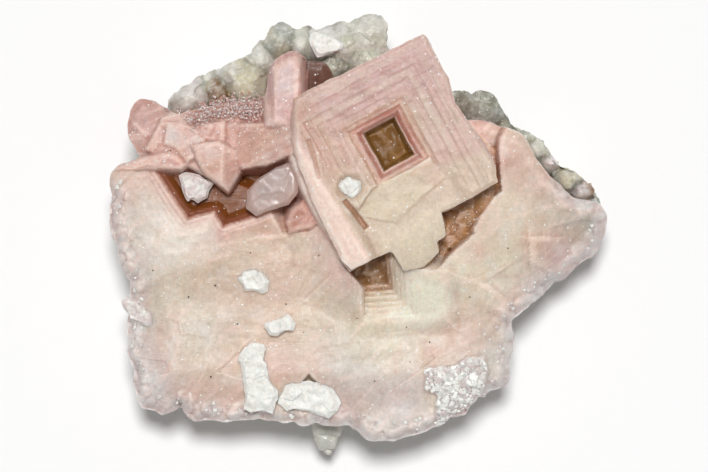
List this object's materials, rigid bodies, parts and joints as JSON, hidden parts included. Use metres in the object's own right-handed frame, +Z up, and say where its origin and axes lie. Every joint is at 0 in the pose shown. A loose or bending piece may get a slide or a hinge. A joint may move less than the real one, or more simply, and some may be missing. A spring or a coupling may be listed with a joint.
{
  "type": "hopper halite mineral specimen",
  "caption": "Cluster of pink hopper halite cubes with stepped square pits, on a granular grey salt matrix with a flat underside and loose white salt chips.",
  "frame": {"origin": "middle of the specimen's box on the plane of its flat underside", "axes": "+Z up, away from the flat underside; +X along the longest side, towards the pale tip; the largest hopper is on the +Y side"},
  "size_m": [0.1142, 0.1017, 0.0452],
  "materials": {
    "pink_salt": "milky pink and cream halite, waxy with small bright glints, darker pink at the stepped rims",
    "grey_salt": "grey-green granular salt, dull between small shining grains",
    "white_salt": "white sugary salt, slightly see-through at the edges",
    "clear_salt": "pale lilac-white see-through salt with cloudy streaks"
  },
  "bodies": {
    "root": {"pink_hopper_cluster": "pink_salt", "grey_salt_matrix": "grey_salt", "chip_in_left_pit": "white_salt", "chip_on_main_hopper": "white_salt", "chip_upper_middle": "white_salt", "chip_middle": "white_salt", "chip_long": "white_salt", "chip_lower": "white_salt", "chip_left_edge": "white_salt", "chip_on_matrix": "white_salt", "clear_blade": "clear_salt"}
  },
  "joints": []
}
